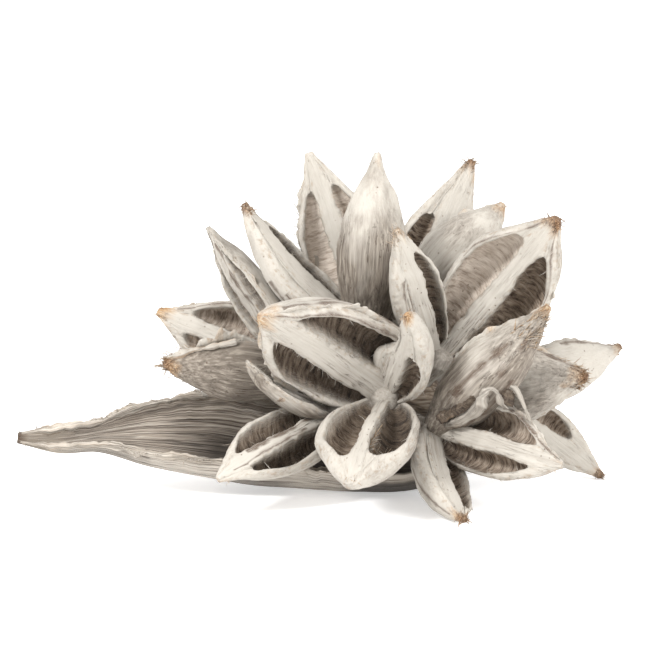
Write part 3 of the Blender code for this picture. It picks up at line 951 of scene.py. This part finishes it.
def bract_grid(points, grain, masks):
    """As grid_part, with each end closed by a strip from the outer arc to the inner."""
    part = grid_part(points, grain, masks)
    stations, count = points.shape[:2]
    faces = part.faces[: (stations - 1) * count]
    for first, turn in ((0, 1), ((stations - 1) * count, -1)):
        for i in range(count // 2 - 1):
            quad = [first + i + 1, first + i, first + count - 1 - i, first + count - 2 - i]
            faces.append(quad[::turn])
    return Part(part.points[:-2], faces, part.grain[:-2], part.masks[:-2])


class Nodes:
    """A new rough material, with short ways to add shader nodes to it."""

    def __init__(self, name):
        self.material = bpy.data.materials.new(name)
        self.material.use_nodes = True
        self.tree = self.material.node_tree
        self.shader = self.tree.nodes["Principled BSDF"]
        self.shader.inputs["Metallic"].default_value = 0
        self.shader.inputs["Roughness"].default_value = 0.88

    def finished(self, colour, height, strength, distance):
        """The material, with its colour and its bumps linked."""
        bump = self.add("ShaderNodeBump", Height=height, Strength=strength, Distance=distance)
        self.put(colour, self.shader.inputs["Base Color"])
        self.put(bump.outputs[0], self.shader.inputs["Normal"])
        return self.material

    def put(self, value, socket):
        """Links a value that is a socket to another socket, or sets that to it."""
        if isinstance(value, bpy.types.NodeSocket):
            self.tree.links.new(value, socket)
        else:
            socket.default_value = value

    def add(self, kind, **inputs):
        node = self.tree.nodes.new(kind)
        for name, value in inputs.items():
            self.put(value, node.inputs[name.replace("_", " ")])
        return node

    def attribute(self, name, vector=False):
        node = self.add("ShaderNodeAttribute")
        node.attribute_name = name
        return node.outputs["Vector" if vector else "Fac"]

    def noise(self, vector, scale, detail=3.0, rough=0.55):
        scaled = self.add("ShaderNodeMapping", Vector=vector, Scale=scale).outputs[0]
        node = self.add("ShaderNodeTexNoise", Vector=scaled, Scale=1.0, Detail=detail, Roughness=rough)
        return node.outputs["Fac"]

    def ramp(self, value, *stops):
        node = self.add("ShaderNodeValToRGB", Fac=value)
        elements = node.color_ramp.elements
        while len(elements) < len(stops):
            elements.new(0.5)
        for element, (place, colour) in zip(elements, stops):
            element.position = place
            element.color = (*colour, 1)
        return node.outputs["Color"]

    def math(self, operation, a, b=0.0):
        node = self.tree.nodes.new("ShaderNodeMath")
        node.operation = operation
        for socket, value in zip(node.inputs, (a, b)):
            self.put(value, socket)
        return node.outputs[0]

    def times(self, a, b):
        return self.math("MULTIPLY", a, b)

    def blend(self, a, a_share, b, b_share):
        return self.math("ADD", self.times(a, a_share), self.times(b, b_share))

    def off_middle(self, value):
        return self.math("ABSOLUTE", self.math("SUBTRACT", value, 0.5))

    def ragged(self, mask, noise, amount):
        """A mask whose border is made ragged by a noise."""
        return self.math("ADD", mask, self.times(self.math("SUBTRACT", noise, 0.5), amount))

    def span(self, value, low, high, to_low=0.0, to_high=1.0):
        ends = {"From_Min": low, "From_Max": high, "To_Min": to_low, "To_Max": to_high}
        return self.add("ShaderNodeMapRange", Value=value, **ends).outputs[0]

    def mix(self, factor, a, b, blend="MIX"):
        node = self.tree.nodes.new("ShaderNodeMix")
        node.data_type = "RGBA"
        node.blend_type = blend
        for place, value in ((0, factor), (6, a), (7, b)):
            self.put((*value, 1) if isinstance(value, tuple) else value, node.inputs[place])
        return node.outputs[2]


def husk_outside(n, streak, fine, patches, tone, outer):
    """The skin: pale with faint streaks, and weathered grey in patches."""
    streaked = n.ramp(
        streak, (0.26, (0.30, 0.26, 0.215)), (0.41, (0.405, 0.372, 0.325)), (0.66, (0.455, 0.427, 0.38))
    )
    even = n.ramp(fine, (0.3, (0.385, 0.35, 0.30)), (0.6, (0.44, 0.41, 0.365)))
    pale = n.mix(n.span(tone, 0.05, 0.45, 0.72, 0.1), streaked, even)
    weathered = n.ramp(
        streak, (0.28, (0.095, 0.077, 0.06)), (0.5, (0.185, 0.155, 0.125)), (0.72, (0.33, 0.29, 0.24))
    )
    grey = n.span(n.blend(patches, 0.75, tone, 0.65), 0.42, 0.82)
    return n.mix(n.times(grey, n.span(outer, 0, 1, 0.25, 1)), pale, weathered)


def husk_inside(n, cross, tone):
    """The hollows: brown under pale cross fibres, with painted light where tone is below 0 and painted
    shade above.
    """
    brown = n.ramp(
        cross, (0.39, (0.05, 0.031, 0.02)), (0.49, (0.23, 0.175, 0.13)), (0.6, (0.42, 0.35, 0.28))
    )
    lit = n.ramp(
        cross, (0.39, (0.38, 0.31, 0.25)), (0.5, (0.6, 0.53, 0.46)), (0.62, (0.72, 0.66, 0.59))
    )
    # Painted light mixes a hollow towards the lit colour; painted shade then darkens it.
    inside = n.mix(n.span(tone, 0, -1), brown, lit)
    shade = n.span(tone, 0, 1, 1, 0.28)
    green, blue = n.math("POWER", shade, 1.08), n.math("POWER", shade, 1.18)
    shadow = n.add("ShaderNodeCombineColor", Red=shade, Green=green, Blue=blue).outputs[0]
    return n.mix(1.0, inside, shadow, "MULTIPLY")


def husk_cracks(n, grain, hollow, tone, patches):
    """Fine dark cracks along the grain, most of them where the skin has weathered."""
    line = n.off_middle(n.noise(grain, (0.55, 0.55, 0.03), 3))
    crack = n.times(n.span(line, 0.012, 0.003), n.span(patches, 0.46, 0.56))
    crack = n.times(crack, n.span(hollow, 0.5, 0.1))
    return n.times(crack, n.span(tone, 0.1, 0.45, 0.15, 1))


def husk_marks(n, grain, crack, split, broad, fine):
    """Where the skin is cracked, specked or split."""
    spots = n.add("ShaderNodeTexVoronoi", Vector=grain, Scale=0.3).outputs["Distance"]
    speck = n.times(n.span(spots, 0.16, 0.06), n.span(broad, 0.48, 0.6))
    mark = n.math("MAXIMUM", n.times(crack, 0.75), n.times(speck, 0.8))
    return n.math("MAXIMUM", mark, n.times(split, n.span(fine, 0.35, 0.5, 0.4, 1)))


def husk_material():
    """Bleached woody husk, its tips tan or knotted, its edges torn and its skin marked."""
    n = Nodes("husk_fine")
    grain = n.attribute("grain", vector=True)
    hollow, outer, tip, tone, dark, edge, split = (n.attribute(name) for name in MASKS)
    streak = n.noise(grain, (0.9, 0.9, 0.035), 4)
    broad = n.noise(grain, (0.16, 0.16, 0.035), 3)
    patches = n.noise(grain, (0.09, 0.09, 0.05), 2)
    bars = n.noise(grain, (0.13, 0.13, 0.55), 4, 0.62)
    fibres = n.noise(grain, (0.24, 0.24, 2.0), 4, 0.7)
    cross = n.blend(bars, 0.6, fibres, 0.4)
    fine = n.noise(grain, (3.4, 3.4, 0.25), 3)
    outside = husk_outside(n, streak, fine, patches, tone, outer)
    in_hollow = n.span(n.ragged(hollow, fine, 1.1), 0.3, 0.95)
    colour = n.mix(in_hollow, outside, husk_inside(n, cross, tone))
    tan = n.ramp(
        n.blend(streak, 0.5, fine, 0.5),
        (0.4, (0.11, 0.048, 0.015)),
        (0.5, (0.36, 0.2, 0.075)),
        (0.61, (0.46, 0.38, 0.275)),
    )
    in_tip = n.span(n.ragged(tip, broad, 1.6), 0.45, 1.05)
    colour = n.mix(n.times(in_tip, 0.9), colour, tan)
    frayed = n.span(n.noise(grain, (0.5, 0.5, 0.4), 3), 0.5, 0.68)
    torn = n.times(n.span(edge, 0.15, 0.8), frayed)
    torn_brown = (0.23, 0.155, 0.09)
    colour = n.mix(n.times(torn, 0.5), colour, torn_brown)
    crack = husk_cracks(n, grain, hollow, tone, patches)
    mark_brown = (0.075, 0.045, 0.028)
    colour = n.mix(husk_marks(n, grain, crack, split, broad, fine), colour, mark_brown)
    knot = n.ramp(
        fine, (0.37, (0.04, 0.018, 0.008)), (0.52, (0.13, 0.062, 0.028)), (0.68, (0.42, 0.28, 0.16))
    )
    colour = n.mix(n.times(dark, 0.95), colour, knot)
    lengthwise = n.math("SUBTRACT", n.blend(streak, 0.7, fine, 0.4), n.times(crack, 0.6))
    height = n.add("ShaderNodeMix", Factor=hollow)
    n.put(lengthwise, height.inputs[2])
    n.put(cross, height.inputs[3])
    return n.finished(colour, height.outputs[0], 0.8, 0.0009)


def bract_material():
    """Grey-brown bract, ridged along its length, dark in the head's shade and tan at its beak."""
    n = Nodes("bract_fine")
    grain = n.attribute("grain", vector=True)
    trough, inside, tip, under, burnt = (n.attribute(name) for name in MASKS[:5])
    ridge = n.noise(grain, (1.0, 1.0, 0.015), 4, 0.6)
    fine = n.noise(grain, (2.9, 2.9, 0.04), 3, 0.65)
    broad = n.noise(grain, (0.08, 0.08, 0.03), 3)
    both = n.blend(ridge, 0.55, fine, 0.45)
    crack = n.span(n.off_middle(n.noise(grain, (0.5, 0.5, 0.01), 4)), 0.02, 0.004)
    inner = n.ramp(
        both, (0.4, (0.06, 0.043, 0.032)), (0.49, (0.27, 0.225, 0.18)), (0.58, (0.47, 0.415, 0.355))
    )
    shell = n.ramp(
        both, (0.38, (0.17, 0.14, 0.113)), (0.47, (0.38, 0.335, 0.285)), (0.57, (0.50, 0.46, 0.405))
    )
    tan = n.ramp(
        fine, (0.33, (0.20, 0.12, 0.065)), (0.46, (0.46, 0.375, 0.285)), (0.6, (0.56, 0.51, 0.44))
    )
    crack_brown, shade_brown, burnt_brown = (0.06, 0.042, 0.03), (0.035, 0.027, 0.021), (0.1, 0.055, 0.03)
    colour = n.mix(inside, shell, inner)
    colour = n.mix(n.times(crack, 0.75), colour, crack_brown)
    colour = n.mix(n.times(trough, 0.85), colour, shade_brown)
    colour = n.mix(n.times(under, 0.9), colour, shade_brown)
    in_tip = n.span(n.ragged(tip, broad, 1.2), 0.3, 0.9)
    colour = n.mix(n.times(in_tip, 0.7), colour, tan)
    charred = n.times(burnt, n.span(fine, 0.62, 0.42, 0.5, 1))
    colour = n.mix(charred, colour, burnt_brown)
    height = n.math("SUBTRACT", both, n.times(crack, 0.3))
    return n.finished(colour, height, 0.9, 0.0014)


def stem_material():
    """Brown woody axis with streaks along X."""
    n = Nodes("stem_fine")
    place = n.add("ShaderNodeTexCoord").outputs["Object"]
    streak = n.noise(place, (120, 900, 900), 4)
    colour = n.ramp(
        streak, (0.3, (0.09, 0.065, 0.045)), (0.5, (0.22, 0.17, 0.125)), (0.72, (0.42, 0.36, 0.29))
    )
    return n.finished(colour, streak, 0.7, 0.0008)


def aim(obj, place, target):
    obj.location = place
    obj.rotation_mode = "QUATERNION"
    obj.rotation_quaternion = (Vector(target) - Vector(place)).to_track_quat("-Z", "Y")


def add_light(name, place, target, size, energy):
    data = bpy.data.lights.new(name, "AREA")
    data.shape = "DISK"
    data.size = size
    data.energy = energy
    light = bpy.data.objects.new(name, data)
    bpy.context.scene.collection.objects.link(light)
    aim(light, place, target)


def studio():
    """A white floor that runs to the horizon, a white surround and soft lights from above."""
    scene = bpy.context.scene
    scene.view_settings.view_transform = "Standard"
    world = bpy.data.worlds.new("surround")
    world.use_nodes = True
    background = world.node_tree.nodes["Background"].inputs
    background["Color"].default_value = (1, 1, 1, 1)
    background["Strength"].default_value = 1.08
    scene.world = world
    mesh = bpy.data.meshes.new("floor")
    side = 6
    corners = [(-side, -side, 0), (side, -side, 0), (side, side, 0), (-side, side, 0)]
    mesh.from_pydata(corners, [], [(0, 1, 2, 3)])
    floor = bpy.data.objects.new("floor", mesh)
    scene.collection.objects.link(floor)
    white = Nodes("floor_white")
    white.shader.inputs["Base Color"].default_value = (0.9, 0.9, 0.9, 1)
    white.shader.inputs["Emission Color"].default_value = (1, 1, 1, 1)
    white.shader.inputs["Emission Strength"].default_value = 0.4
    mesh.materials.append(white.material)
    just_below = -0.0002
    floor.location.z = just_below
    add_light("key", (-0.85, -0.95, 1.05), (0, 0, 0.07), 0.4, 24)
    add_light("right fill", (1.0, -1.0, 0.6), (0, 0, 0.07), 0.7, 15)
    add_light("top", (0.2, 0.1, 1.5), (0, 0, 0.07), 0.9, 5)


def photo_camera():
    """The photograph's view: from the front, a little above level."""
    elevation = math.radians(9)
    target = Vector((0, 0.0039, 0.0754))
    distance = 1.1
    frame_width = 0.299
    data = bpy.data.cameras.new("photo")
    data.sensor_width = 36
    data.lens = data.sensor_width * distance / frame_width
    camera = bpy.data.objects.new("photo", data)
    bpy.context.scene.collection.objects.link(camera)
    place = target + Vector((0, -math.cos(elevation), math.sin(elevation))) * distance
    aim(camera, place, target)
    bpy.context.scene.camera = camera


husk = husk_material()
for number, (name, capsule) in enumerate(CAPSULES.items()):
    build_capsule(name, capsule, husk, 100 + 40 * number)
bract = add_piece("bract_fine", bract_parts(), bract_material())
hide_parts("bract")
for material_slot in bpy.data.objects["stem_axis"].material_slots:
    material_slot.material = stem_material()
studio()
photo_camera()
